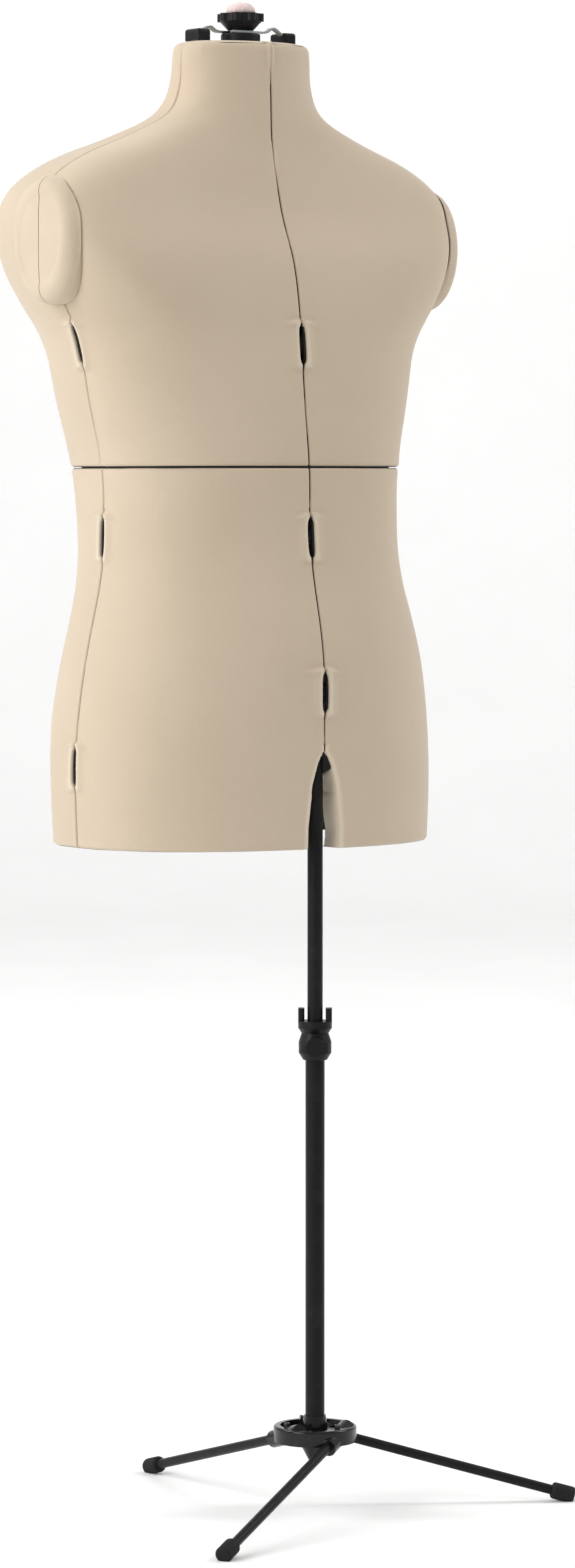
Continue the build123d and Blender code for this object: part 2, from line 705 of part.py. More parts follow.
def leg_plane(bearing, distance):
    """Across one leg at a distance out from the pole, looking outwards along the leg."""
    way = Vector(cos(radians(bearing)), sin(radians(bearing)), 0)
    beside = Vector(-way.Y, way.X, 0) * LEG_SIDE
    fall = (LEG_ROOT_Z - FOOT_Z) / (LEG_SPREAD - LEG_ROOT_S)
    centre = Vector(0, POLE_Y, LEG_ROOT_Z) + beside + way * distance
    centre -= Vector(0, 0, fall * (distance - LEG_ROOT_S))
    return Plane(centre, Vector(-way.Y, way.X, 0), way - Vector(0, 0, fall))


with BuildPart() as base_hub:
    with BuildSketch(pole_floor.offset(HUB_LOW_Z)):
        Circle(HUB_R)
    extrude(amount=HUB_HIGH_Z - HUB_LOW_Z)
    fillet(base_hub.edges().group_by(Axis.Z)[-1], 2.5)
    with BuildSketch(pole_floor.offset(HUB_RECESS_Z)):
        Circle(HUB_RECESS_R)
    extrude(amount=BEYOND, mode=Mode.SUBTRACT)
    with BuildSketch(pole_floor.offset(HUB_LOW_Z)):
        with PolarLocations(HUB_HOLE_AT, 3, start_angle=HUB_HOLE_TURN):
            Ellipse(4.5, 8)
    extrude(amount=BEYOND, mode=Mode.SUBTRACT)
    with BuildSketch(pole_floor.offset(HUB_LOW_Z)):
        Circle(HUB_BOSS_R)
    extrude(amount=HUB_BOSS_HIGH_Z - HUB_LOW_Z, taper=6)
    with BuildSketch(pole_floor.offset(HUB_LOW_Z)):
        Circle(HUB_BOSS_R + 3)
    extrude(amount=-HUB_CONE_TALL, taper=28)
    for bearing in LEG_BEARINGS.values():
        with BuildSketch(leg_plane(bearing, LEG_ROOT_S - 3)):
            Circle(LEG_R + 4)
        extrude(amount=HUB_SOCKET_LONG)
    with BuildSketch(pole_floor.offset(HUB_LOW_Z)):
        Circle(LOWER_TUBE_R)
    extrude(amount=BEYOND, mode=Mode.SUBTRACT)
    for bearing in LEG_BEARINGS.values():
        with BuildSketch(leg_plane(bearing, LEG_ROOT_S)):
            Circle(LEG_R)
        extrude(amount=BEYOND, mode=Mode.SUBTRACT)
        screw_at = leg_plane(bearing, SCREW_S).origin
        with BuildSketch(Plane(screw_at)):
            Circle(SCREW_R)
        extrude(amount=HUB_HIGH_Z, mode=Mode.SUBTRACT)
save(base_hub, "base_hub")

for name, bearing in LEG_BEARINGS.items():
    with BuildPart() as leg:
        with BuildSketch(leg_plane(bearing, LEG_ROOT_S)):
            Circle(LEG_R)
        extrude(amount=LEG_SPREAD - LEG_ROOT_S)
    save(leg, name)

    with BuildPart() as foot:
        with BuildSketch(leg_plane(bearing, LEG_SPREAD - FOOT_LONG * 0.55)):
            Circle(FOOT_R)
        extrude(amount=FOOT_LONG)
        fillet(foot.edges().filter_by(GeomType.CIRCLE), 3)
        with BuildSketch(leg_plane(bearing, LEG_SPREAD - FOOT_LONG)):
            Circle(LEG_R)
        extrude(amount=FOOT_LONG * 1.039, mode=Mode.SUBTRACT)
        with BuildSketch(pole_floor):
            Circle(BEYOND)
        extrude(amount=HUB_LOW_Z, mode=Mode.INTERSECT)
    save(foot, name.replace("leg", "foot"))

with BuildPart() as leg_screws:
    for bearing in LEG_BEARINGS.values():
        screw_at = leg_plane(bearing, SCREW_S).origin
        with BuildSketch(Plane(screw_at).offset(LEG_R + 1.2)):
            Circle(SCREW_R)
            RegularPolygon(1.6, 6, mode=Mode.SUBTRACT)
        extrude(amount=SCREW_LONG)
save(leg_screws, "leg_screws")
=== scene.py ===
import bmesh
import bpy
import numpy as np
from math import cos, pi, radians, sin
from mathutils import Euler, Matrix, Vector
from mathutils.bvhtree import BVHTree


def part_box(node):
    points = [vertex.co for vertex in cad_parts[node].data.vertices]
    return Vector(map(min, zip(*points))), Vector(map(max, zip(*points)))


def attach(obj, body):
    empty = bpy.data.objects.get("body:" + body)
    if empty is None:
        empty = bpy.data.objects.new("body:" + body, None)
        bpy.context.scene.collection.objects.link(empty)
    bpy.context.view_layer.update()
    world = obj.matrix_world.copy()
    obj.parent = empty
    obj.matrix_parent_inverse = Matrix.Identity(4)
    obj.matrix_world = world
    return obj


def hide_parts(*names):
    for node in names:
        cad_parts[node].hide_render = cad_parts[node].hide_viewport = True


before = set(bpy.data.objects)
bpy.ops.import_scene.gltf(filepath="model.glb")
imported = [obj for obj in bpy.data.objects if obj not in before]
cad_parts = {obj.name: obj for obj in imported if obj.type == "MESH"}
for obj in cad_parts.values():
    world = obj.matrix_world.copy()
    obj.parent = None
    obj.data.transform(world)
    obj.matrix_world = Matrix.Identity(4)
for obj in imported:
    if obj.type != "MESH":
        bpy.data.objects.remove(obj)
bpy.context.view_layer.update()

# ---- the two upright axes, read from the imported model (metres) ----
mast_low, mast_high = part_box("centre_mast")
BODY_Y = (mast_low[1] + mast_high[1]) / 2
tube_low, tube_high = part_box("lower_tube")
POLE_Y = (tube_low[1] + tube_high[1]) / 2

# ---- the torso's slices: height, half width, depth in front, depth behind ----
TORSO_SLICES = np.array([
    (0.650, 0.197, 0.150, 0.130),
    (0.735, 0.200, 0.152, 0.134),
    (0.795, 0.197, 0.152, 0.139),
    (0.855, 0.188, 0.151, 0.132),
    (0.896, 0.179, 0.144, 0.125),
    (0.936, 0.170, 0.134, 0.124),
    (0.980, 0.166, 0.127, 0.128),
    (1.051, 0.168, 0.125, 0.144),
    (1.120, 0.183, 0.117, 0.158),
    (1.180, 0.196, 0.111, 0.167),
    (1.221, 0.215, 0.106, 0.170),
    (1.261, 0.230, 0.096, 0.170),
    (1.302, 0.237, 0.078, 0.164),
    (1.332, 0.229, 0.069, 0.153),
    (1.358, 0.192, 0.062, 0.133),
    (1.383, 0.136, 0.058, 0.106),
    (1.405, 0.091, 0.057, 0.076),
    (1.428, 0.076, 0.056, 0.056),
    (1.479, 0.069, 0.054, 0.046),
])
FRONT_POWER = 2.3
BACK_POWER = 2.6
SHOULDER_POWER = 1.3
SHOULDER_Z = 1.280
SHOULDER_SPAN = 0.120
HEM_Z = 0.670
WAIST_SEAM_Z = 1.051
NECK_TOP_Z = 1.479
HALF_SEAM = 0.0006
HALF_WAIST_SEAM = 0.0010

# ---- adjusters: level, seam, height ----
CHEST_Z, WAIST_Z, HIP_Z, SIDE_HIP_Z = 1.173, 0.980, 0.826, 0.751
ADJUSTERS = [(level, where, height) for level, heights in (
    ("upper", {"front": CHEST_Z, "back": CHEST_Z, "side": CHEST_Z}),
    ("lower", {"front": WAIST_Z, "back": WAIST_Z, "side": WAIST_Z}),
    ("lower", {"front": HIP_Z, "back": HIP_Z, "side": SIDE_HIP_Z}),
) for where, height in heights.items()]
SLOT_HALF_WIDE = 0.0037
SLOT_HALF_TALL = 0.0195
LIP_RISE = 0.0030
LIP_WIDE = 0.0065
ARCH_TOP_Z = 0.7675
ARCH_DROPS = (0.0, 0.004, 0.012, 0.032, 0.052, 0.075, 0.120)
ARCH_HALVES = (0.0, 0.0035, 0.0075, 0.0135, 0.0165, 0.0190, 0.0195)


def torso_sizes(height):
    """Half width, front depth and back depth of the torso at a height."""
    rows = TORSO_SLICES
    k = int(np.clip(np.searchsorted(rows[:, 0], height) - 1, 0, len(rows) - 2))
    low, high = rows[k], rows[k + 1]
    before, after = rows[max(k - 1, 0)], rows[min(k + 2, len(rows) - 1)]
    rise = high[0] - low[0]
    t = (height - low[0]) / rise
    m0 = (high - before)[1:] / (high[0] - before[0]) * rise
    m1 = (after - low)[1:] / (after[0] - low[0]) * rise
    step = (high - low)[1:]
    return low[1:] + t * (m0 + t * (3 * step - 2 * m0 - m1 + t * (m0 + m1 - 2 * step)))


def slice_power(end, height):
    """Squareness of a slice's front or back, greatest at the shoulders."""
    base = FRONT_POWER if end == "front" else BACK_POWER
    away = min(1, abs(height - SHOULDER_Z) / SHOULDER_SPAN)
    return base + SHOULDER_POWER * (1 + cos(pi * away)) / 2


def smooth_step(x):
    x = np.clip(x, 0, 1)
    return x * x * (3 - 2 * x)


def bell(x, wide):
    return np.exp(-(x / wide) ** 2)


def slot_opening(level, where, height):
    """How far a panel's edge stands back from its seam at a height, for the adjusters' slots."""
    back = 0.0
    for at_level, at_where, at_height in ADJUSTERS:
        if (at_level, at_where) == (level, where):
            reach = abs(height - at_height) / SLOT_HALF_TALL
            if reach < 1:
                back = max(back, SLOT_HALF_WIDE * (1 - reach ** 4) ** 0.5)
    return back


def arch_opening(level, end, height):
    """How far the lower front panels stand back from the front seam, for the pole's arch."""
    if (level, end) != ("lower", "front") or height > ARCH_TOP_Z:
        return 0.0
    return float(np.interp(ARCH_TOP_Z - height, ARCH_DROPS, ARCH_HALVES))


def lip_rise(level, where, away, height):
    """The raised fold of cloth round an adjuster's slot, and the small fold across its top."""
    rise = 0.0
    for at_level, at_where, at_height in ADJUSTERS:
        if (at_level, at_where) != (level, where):
            continue
        dz = height - at_height
        along = smooth_step((SLOT_HALF_TALL + 0.009 - abs(dz)) / 0.008)
        rise += LIP_RISE * bell(away - SLOT_HALF_WIDE - 0.003, LIP_WIDE) * along
        top = dz - SLOT_HALF_TALL - 0.004 + 0.25 * away
        rise += 0.0014 * bell(top, 0.0022) * smooth_step((0.021 - away) / 0.008)
        rise -= 0.0011 * bell(top - 0.0045, 0.0024) * smooth_step((0.021 - away) / 0.008)
    return rise


# ---- mesh helpers ----
def make_object(name, points, faces, material, smooth=True):
    """A mesh object from points in metres, with outward normals."""
    mesh = bpy.data.meshes.new(name)
    mesh.from_pydata([tuple(p) for p in points], [], faces)
    mesh.update()
    if smooth:
        mesh.polygons.foreach_set("use_smooth", [True] * len(mesh.polygons))
    obj = bpy.data.objects.new(name, mesh)
    bpy.context.scene.collection.objects.link(obj)
    mesh.materials.append(material)
    return obj


def apply_modifier(obj, kind, **settings):
    """Add one modifier and make its result the mesh."""
    modifier = obj.modifiers.new("step", kind)
    for key, value in settings.items():
        setattr(modifier, key, value)
    bpy.context.view_layer.update()
    shown = obj.evaluated_get(bpy.context.evaluated_depsgraph_get())
    mesh = bpy.data.meshes.new_from_object(shown)
    obj.modifiers.clear()
    old = obj.data
    obj.data = mesh
    bpy.data.meshes.remove(old)


def unit(vectors):
    return vectors / np.maximum(np.linalg.norm(vectors, axis=-1, keepdims=True), 1e-12)


def grid_normals(grid, outward):
    """Unit normals of a grid of points, on the side that outward points to."""
    across = np.gradient(grid, axis=0)
    along = np.gradient(grid, axis=1)
    normals = unit(np.cross(across, along))
    flip = np.sign(np.sum(normals * outward, axis=-1, keepdims=True))
    return normals * np.where(flip == 0, 1, flip)


def rolled_edge(grid, normals, radius, depth, steps=4):
    """Columns past a grid's first one that roll over an edge and then go straight in."""
    edge, inner = grid[0], grid[1]
    along = unit(np.gradient(edge, axis=0))
    over = unit(np.cross(normals[0], along))
    over *= np.sign(np.sum(over * (edge - inner), axis=-1, keepdims=True))
    columns = []
    for step in range(1, steps + 1):
        turn = pi / 2 * step / steps
        columns.append(edge + over * radius * sin(turn) - normals[0] * radius * (1 - cos(turn)))
    last = columns[-1]
    for share in (0.5, 1.0):
        columns.append(last - normals[0] * np.asarray(depth).reshape(-1, 1) * share)
    return np.array(columns[::-1])


def grid_faces(rows, columns, flip):
    faces = []
    for i in range(rows - 1):
        for j in range(columns - 1):
            a = i * columns + j
            face = (a, a + 1, a + columns + 1, a + columns)
            faces.append(face[::-1] if flip else face)
    return faces


# ---- cloth covers ----
SHELL_CLEAR = 0.0017
SEAM_ROLL = 0.0022
HEM_ROLL = 0.0032
WAIST_ROLL = 0.0030
NECK_ROLL = 0.0085
CLOTH_THICK = 0.0012
LID_HOLE = 0.0180
EDGE_STEPS = np.array([0, 0.7, 1.5, 2.5, 3.7, 5.2, 7.0, 9.5, 13.0, 18.0, 25.0]) / 1000
MIDDLE_COLUMNS = 26
ROW_STEP = 0.0055
SLOT_ROWS_REACH = 0.034  # rows are closer together this far above and below a slot's middle
SLOT_ROW_STEP = 0.0014
ARCH_ROW_STEP = 0.004
LEAST_ROW_STEP = 0.00012
LIP_REACH = 0.045  # no raised lip goes further than this from its seam
EDGE_THIN = 0.0009  # the foam is this much thinner along a seam
EDGE_THIN_WIDE = 0.009
EDGE_FOLD = 0.0016  # how far a seam's edge goes inwards past its roll
TURN_IN = 0.006  # the same at the hem, the waist and the neck
ARCH_FOLD = 0.021  # beside the arch the edge goes inwards this much further
ARCH_FOLD_TOP_Z = 0.752
ARCH_FOLD_RUN = 0.010
LID_SHARES = (0.25, 0.6, 1.0)


def panel_heights(level, end):
    """Row heights, close together where the cloth's edge or folds turn quickly."""
    if level == "lower":
        low, high = HEM_Z + HEM_ROLL, WAIST_SEAM_Z - HALF_WAIST_SEAM - WAIST_ROLL
    else:
        low, high = WAIST_SEAM_Z + HALF_WAIST_SEAM + WAIST_ROLL, NECK_TOP_Z - NECK_ROLL
    rows = list(np.arange(low, high, ROW_STEP)) + [high]
    for at_level, _, height in ADJUSTERS:
        if at_level == level:
            rows += list(np.arange(height - SLOT_ROWS_REACH, height + SLOT_ROWS_REACH, SLOT_ROW_STEP))
    if (level, end) == ("lower", "front"):
        rows += [ARCH_TOP_Z - 0.0002 * k ** 2 for k in range(0, 11)]
        rows += list(np.arange(low, ARCH_TOP_Z, ARCH_ROW_STEP))
    rows = np.array(sorted(r for r in rows if low <= r <= high))
    keep = [rows[0]]
    for row in rows[1:]:
        if row - keep[-1] > LEAST_ROW_STEP:
            keep.append(row)
    keep[-1] = high
    return np.array(keep)


def ripple(x, y, z, seed):
    """A slow waviness of stretched cloth, about a third of a millimetre."""
    return 0.00022 * (
        np.sin(31 * x + 17 * z + seed)
        + np.sin(23 * y - 29 * z + 2 * seed)
        + 0.7 * np.sin(47 * (x + y) + 13 * z + 3 * seed)
    )


def panel_grid(level, end, side):
    """The outer face of one panel's cloth, and its rolled edges, as one grid of points."""
    across = 1 if side == "left" else -1
    ahead = -1 if end == "front" else 1
    heights = panel_heights(level, end)
    turn = pi / 2 * (0.5 + 0.5 * np.cos(np.linspace(0, pi, 400)))
    columns = []
    for height in heights:
        half_width, front, back = torso_sizes(height)
        depth = front if end == "front" else back
        power = slice_power(end, height)
        x = half_width * np.cos(turn).clip(0) ** (2 / power)
        y = depth * np.sin(turn).clip(0) ** (2 / power)
        run = np.concatenate([[0], np.cumsum(np.hypot(np.diff(x), np.diff(y)))])
        opening = HALF_SEAM + slot_opening(level, end, height) + arch_opening(level, end, height)
        start = np.interp(opening + SEAM_ROLL, x, run)
        stop_y = HALF_SEAM + slot_opening(level, "side", height) + SEAM_ROLL
        stop = np.interp(-stop_y, -y, run)
        middle = np.linspace(start + EDGE_STEPS[-1], stop - EDGE_STEPS[-1], MIDDLE_COLUMNS)
        at = np.concatenate([start + EDGE_STEPS, middle[1:-1], stop - EDGE_STEPS[::-1]])
        px, py = np.interp(at, run, x), np.interp(at, run, y)
        rise = np.array([lip_rise(level, end, a, height) if a < LIP_REACH else 0.0 for a in px])
        rise += np.array([lip_rise(level, "side", a, height) if a < LIP_REACH else 0.0 for a in py])
        columns.append((px * across, BODY_Y + py * ahead, np.full_like(px, height), rise))
    grid = np.array(columns).transpose(2, 0, 1)
    rise, grid = grid[..., 3:], grid[..., :3].copy()
    outward = np.stack([grid[..., 0], grid[..., 1] - BODY_Y, 0.15 + 0 * grid[..., 2]], axis=-1)
    normals = grid_normals(grid, outward)
    seed = 1.0 + (level == "upper") + 2 * (end == "back") + 4 * (side == "right")
    wave = ripple(grid[..., 0], grid[..., 1], grid[..., 2], seed)
    # the foam behind the cloth thins towards every edge
    near_seam = bell(grid[..., 0], EDGE_THIN_WIDE) + bell(grid[..., 1] - BODY_Y, EDGE_THIN_WIDE)
    edge_fall = EDGE_THIN * near_seam
    grid += normals * (rise + (wave - edge_fall)[..., None])
    grid = lift_off_shell(grid, normals, f"{level}_{end}_{side}")
    normals = grid_normals(grid, outward)

    heights_column = grid[0, :, 2]
    fold = np.full(len(heights_column), EDGE_FOLD)
    if (level, end) == ("lower", "front"):
        fold = fold + ARCH_FOLD * smooth_step((ARCH_FOLD_TOP_Z - heights_column) / ARCH_FOLD_RUN)
    first = rolled_edge(grid, normals, SEAM_ROLL, fold)
    last = rolled_edge(grid[::-1], normals[::-1], SEAM_ROLL, np.full(grid.shape[1], EDGE_FOLD))[::-1]
    wide = np.concatenate([first, grid, last])
    wide_normals = np.concatenate([
        np.repeat(normals[:1], len(first), axis=0), normals, np.repeat(normals[-1:], len(last), axis=0)
    ])
    swapped, swapped_normals = wide.transpose(1, 0, 2), wide_normals.transpose(1, 0, 2)
    low_roll = HEM_ROLL if level == "lower" else WAIST_ROLL
    high_roll = WAIST_ROLL if level == "lower" else NECK_ROLL
    bottom = flat_roll(swapped, swapped_normals, low_roll, TURN_IN, -1)
    top = flat_roll(swapped[::-1], swapped_normals[::-1], high_roll, TURN_IN, 1)
    if level == "upper":
        rim = top[2]
        centre = np.array([0, BODY_Y])
        away = np.linalg.norm(rim[:, :2] - centre, axis=1, keepdims=True)
        ring = centre + (rim[:, :2] - centre) / np.maximum(away, 1e-6) * np.minimum(away, LID_HOLE)
        lid = []
        for share in LID_SHARES:
            flat = rim.copy()
            flat[:, :2] = rim[:, :2] + (ring - rim[:, :2]) * share
            lid.append(flat)
        top = np.concatenate([np.array(lid)[::-1], top[2:]])
    return np.concatenate([bottom, swapped, top[::-1]])


def lift_off_shell(grid, normals, panel):
    """Moves the cloth outwards wherever it would come closer to its shell than its thickness."""
    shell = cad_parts[f"{panel}_shell"].data
    tree = BVHTree.FromPolygons(
        [v.co.copy() for v in shell.vertices], [tuple(p.vertices) for p in shell.polygons]
    )
    push = np.zeros(grid.shape[:2])
    for i in range(grid.shape[0]):
        for j in range(grid.shape[1]):
            place = Vector(grid[i, j])
            near, facing, _, away = tree.find_nearest(place)
            if away < 0.012 and facing.dot(Vector(normals[i, j])) > 0.6:
                push[i, j] = max(0.0, SHELL_CLEAR - (place - near).dot(facing))
    wide = push.copy()
    for axis in (0, 1):
        for shift in (1, -1):
            wide = np.maximum(wide, np.roll(push, shift, axis=axis))
    for _ in range(4):
        padded = np.pad(wide, 1, mode="edge")
        wide = 0.2 * (
            padded[1:-1, 1:-1] + padded[2:, 1:-1] + padded[:-2, 1:-1] + padded[1:-1, 2:] + padded[1:-1, :-2]
        )
    return grid + normals * np.maximum(wide, push)[..., None]


def flat_roll(rows, normals, radius, depth, up):
    """Rows past a grid's first one that roll over a level edge and then go straight in."""
    edge, out = rows[0], normals[0].copy()
    out[:, 2] = 0
    out = unit(out)
    made = []
    for step in range(1, 5):
        turn = pi / 2 * step / 4
        row = edge - out * radius * (1 - cos(turn))
        row[:, 2] = edge[:, 2] + up * radius * sin(turn)
        made.append(row)
    for share in (0.5, 1.0):
        made.append(made[3] - out * depth * share)
    return np.array(made[::-1])


def close_and_thicken(obj, outward_point, thick):
    """Points the faces away from a place inside the object and gives the sheet its thickness."""
    mesh = obj.data
    work = bmesh.new()
    work.from_mesh(mesh)
    bmesh.ops.remove_doubles(work, verts=work.verts, dist=0.00002)
    bmesh.ops.dissolve_degenerate(work, edges=work.edges, dist=0.00002)
    largest = max(work.faces, key=lambda f: f.calc_area())
    if largest.normal.dot(largest.calc_center_median() - Vector(outward_point)) < 0:
        bmesh.ops.reverse_faces(work, faces=work.faces)
    work.to_mesh(mesh)
    work.free()
    area = sum(p.area for p in mesh.polygons)
    if thick:
        apply_modifier(obj, "SOLIDIFY", thickness=thick, offset=-1, use_quality_normals=True)
        obj.data.polygons.foreach_set("use_smooth", [True] * len(obj.data.polygons))
    return area


def add_uv(obj, grid):
    """Texture coordinates in metres: along each row of the cloth, and up it."""
    run = np.zeros(grid.shape[:2])
    run[:, 1:] = np.cumsum(np.linalg.norm(np.diff(grid, axis=1), axis=-1), axis=1)
    run -= run.mean(axis=1, keepdims=True)
    rise = np.zeros(grid.shape[:2])
    rise[1:] = np.cumsum(np.linalg.norm(np.diff(grid, axis=0), axis=-1), axis=0)
    flat = np.stack([run, rise], axis=-1).reshape(-1, 2)
    layer = obj.data.uv_layers.new(name="cloth")
    for loop in obj.data.loops:
        layer.data[loop.index].uv = flat[loop.vertex_index]


def lip_highlight_share(x, y, z, level, end):
    """How much painted highlight a place on the cloth gets along the raised lips of the slots and of the
    arch, 0 to 1.
    """
    share = 0.0
    for at_level, where, height in ADJUSTERS:
        if at_level != level or where not in (end, "side"):
            continue
        away = abs(y - BODY_Y) if where == "side" else abs(x)
        along = smooth_step((SLOT_HALF_TALL + 0.006 - abs(z - height)) / 0.005)
        share = max(share, along * smooth_step((0.0105 - away) / 0.005))
    if (level, end) == ("lower", "front") and z < ARCH_TOP_Z + 0.006:
        edge = abs(x) - arch_opening(level, end, min(z, ARCH_TOP_Z))
        share = max(share, smooth_step((0.0065 - edge) / 0.004))
    return float(share)


def mark_lip_highlights(obj, level, end):
    # a point attribute that holds the painted highlight of the raised lips, read by the cloth's colour
    layer = obj.data.attributes.new("lip_highlight", "FLOAT", "POINT")
    layer.data.foreach_set("value", [lip_highlight_share(*v.co, level, end) for v in obj.data.vertices])


def make_panel(level, end, side, material):
    """One of the eight cloth covers, in place of its CAD solid."""
    panel = f"{level}_{end}_{side}"
    grid = panel_grid(level, end, side)
    rows, columns = grid.shape[:2]
    obj = make_object(f"{panel}_cloth", grid.reshape(-1, 3), grid_faces(rows, columns, False), material)
    add_uv(obj, grid)
    middle_height = (grid[0, 0, 2] + grid[-1, 0, 2]) / 2
    area = close_and_thicken(obj, (0, BODY_Y, middle_height), CLOTH_THICK)
    mark_lip_highlights(obj, level, end)
    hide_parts(f"{panel}_cover")
    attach(obj, panel)
    return obj


# ---- soft caps at the shoulders' ends ----
CAP_Z = 1.276
CAP_HALF_DEEP = 0.0535
CAP_HALF_TALL = 0.0635
CAP_FACE_X = 0.2405
CAP_ROLL = 0.015
CAP_TURNS = 49
CAP_LIFT = 0.0004  # off the cover that it is sewn to
CAP_RADIUS = 0.058  # between its half depth and half height, to put the roll as a share
CAP_ROUND = 0.92
CAP_UNDER_SHARES = (0.0, 0.35, 0.7, 0.96)
CAP_FACE_SHARES = (0.45, 0.25, 0.1, 0.0)
CAP_CROWN = 0.0004
# how far inside the rim, as a share, and how far below the face
CAP_DISH = ((0.03, 0.0002), (0.06, 0.0006), (0.09, 0.0007), (0.14, 0.0004), (0.24, 0.0001))


def cloth_x(y, z, end):
    """Half width of the torso's surface at a place (y from the torso's axis)."""
    half_width, front, back = torso_sizes(z)
    depth = front if end == "front" else back
    power = slice_power(end, z)
    share = np.clip(abs(y) / depth, 0, 0.999)
    return half_width * (1 - share ** power) ** (1 / power)


def make_cap(end, side, material):
    """Half of a shoulder's padded end: a rolled rim round a sunken, slightly crowned face."""
    across = 1 if side == "left" else -1
    ahead = -1 if end == "front" else 1
    rows = []
    for turn in np.linspace(0, pi, CAP_TURNS):
        y_full, z_full = CAP_HALF_DEEP * sin(turn) ** CAP_ROUND, CAP_HALF_TALL * cos(turn)
        root = cloth_x(y_full, CAP_Z + z_full, end) + CAP_LIFT
        row = []
        for share in CAP_UNDER_SHARES:
            under = cloth_x(y_full * share, CAP_Z + z_full * share, end) + CAP_LIFT
            row.append((min(under, CAP_FACE_X - 0.003), share))
        start = min(root + 0.0006, CAP_FACE_X - 0.004)
        row.append((start, 0.995))
        fit = min(CAP_ROLL, CAP_FACE_X - start)
        for step in range(3):
            row.append((start + (CAP_FACE_X - fit - start) * (step + 1) / 4, 1.0 + 0.004 * step))
        for step in range(7):
            bend = pi / 2 * step / 6
            share = 1.0 - CAP_ROLL / CAP_RADIUS * (1 - cos(bend))
            row.append((CAP_FACE_X - fit + fit * sin(bend), share))
        inner = 1.0 - CAP_ROLL / CAP_RADIUS
        row += [(CAP_FACE_X - dip, inner - inside) for inside, dip in CAP_DISH]
        row += [(CAP_FACE_X + CAP_CROWN * (1 - share), share) for share in CAP_FACE_SHARES]
        rows.append([
            (
                across * x,
                BODY_Y + ahead * (HALF_SEAM + max(y_full * share, 0)),
                CAP_Z + z_full * share,
            )
            for x, share in row
        ])
    grid = np.array(rows)
    count, columns = grid.shape[:2]
    ends = [list(range(columns)), list(range((count - 1) * columns, count * columns))]
    faces = grid_faces(count, columns, False)
    obj = make_object(f"arm_cap_{end}_{side}_pad", grid.reshape(-1, 3), faces, material)
    work = bmesh.new()
    work.from_mesh(obj.data)
    work.verts.ensure_lookup_table()
    seam = [work.verts[i] for i in ends[0]] + [work.verts[i] for i in ends[1][::-1]]
    work.faces.new(seam)
    bmesh.ops.remove_doubles(work, verts=work.verts, dist=0.00003)
    bmesh.ops.dissolve_degenerate(work, edges=work.edges, dist=0.00002)
    bmesh.ops.recalc_face_normals(work, faces=work.faces)
    if work.calc_volume(signed=True) < 0:
        bmesh.ops.reverse_faces(work, faces=work.faces)
    work.to_mesh(obj.data)
    work.free()
    obj.data.polygons.foreach_set("use_smooth", [True] * len(obj.data.polygons))
    mark_sharp(obj, 50)
    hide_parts(f"arm_cap_{end}_{side}")
    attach(obj, f"upper_{end}_{side}")
    return obj


def mark_sharp(obj, degrees):
    """Edges that turn more than this stay sharp, and the rest are shaded smooth."""
    work = bmesh.new()
    work.from_mesh(obj.data)
    for edge in work.edges:
        if len(edge.link_faces) == 2:
            edge.smooth = edge.calc_face_angle(0) < radians(degrees)
    work.to_mesh(obj.data)
    work.free()


def lathe(name, profile, centre, material, steps=64, wobble=None):
    """A closed turned form about an upright axis, from (radius, height) points, ends on the axis."""
    points, faces = [], []
    for k in range(steps):
        turn = 2 * pi * k / steps
        for radius, height in profile[1:-1]:
            out, up = wobble(turn, radius, height) if wobble else (radius, height)
            points.append((centre[0] + out * cos(turn), centre[1] + out * sin(turn), up))
    count = len(profile) - 2
    for k in range(steps):
        a, b = k * count, (k + 1) % steps * count
        faces += [(a + i, b + i, b + i + 1, a + i + 1) for i in range(count - 1)]
    bottom, top = len(points), len(points) + 1
    points += [(centre[0], centre[1], profile[0][1]), (centre[0], centre[1], profile[-1][1])]
    for k in range(steps):
        a, b = k * count, (k + 1) % steps * count
        faces.append((bottom, b, a))
        faces.append((top, a + count - 1, b + count - 1))
    return make_object(name, points, faces, material)


def make_cushion(material):
    """The small domed pin cushion, gathered round its foot where the knob's rim holds it."""
    low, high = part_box("pin_cushion")
    centre = ((low[0] + high[0]) / 2, (low[1] + high[1]) / 2)
    radius, base, tall = (high[0] - low[0]) / 2, low[2], high[2] - low[2]
    profile = [(0, base), (radius * 0.93, base)]
    for k in range(1, 15):
        turn = pi / 2 * k / 15
        profile.append((radius * cos(turn) ** 0.85, base + tall * (0.08 + 0.92 * sin(turn))))
    profile.append((0, base + tall))

    def gathers(turn, out, up):
        low_down = 1 - smooth_step((up - base) / (0.55 * tall))
        fold = 0.020 * cos(22 * turn) + 0.012 * cos(13 * turn + 1.1)
        return out * (0.985 + fold * low_down - 0.02 * low_down), up

    obj = lathe("pin_cushion_felt", profile, centre, material, steps=132, wobble=gathers)
    close_and_thicken(obj, (centre[0], centre[1], base + tall / 2), 0)
    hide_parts("pin_cushion")
    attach(obj, "neck_knob")
    return obj


# ---- the board inside the waist ----
BOARD_INSET = 0.0085
BOARD_LOW_Z = 1.0440
BOARD_HIGH_Z = 1.0560
BOARD_STEPS = 96
BOARD_HOLE_R = 0.0105
BOARD_WEB_HALF = 0.002  # the board is this thick each way from its middle, inside its rim


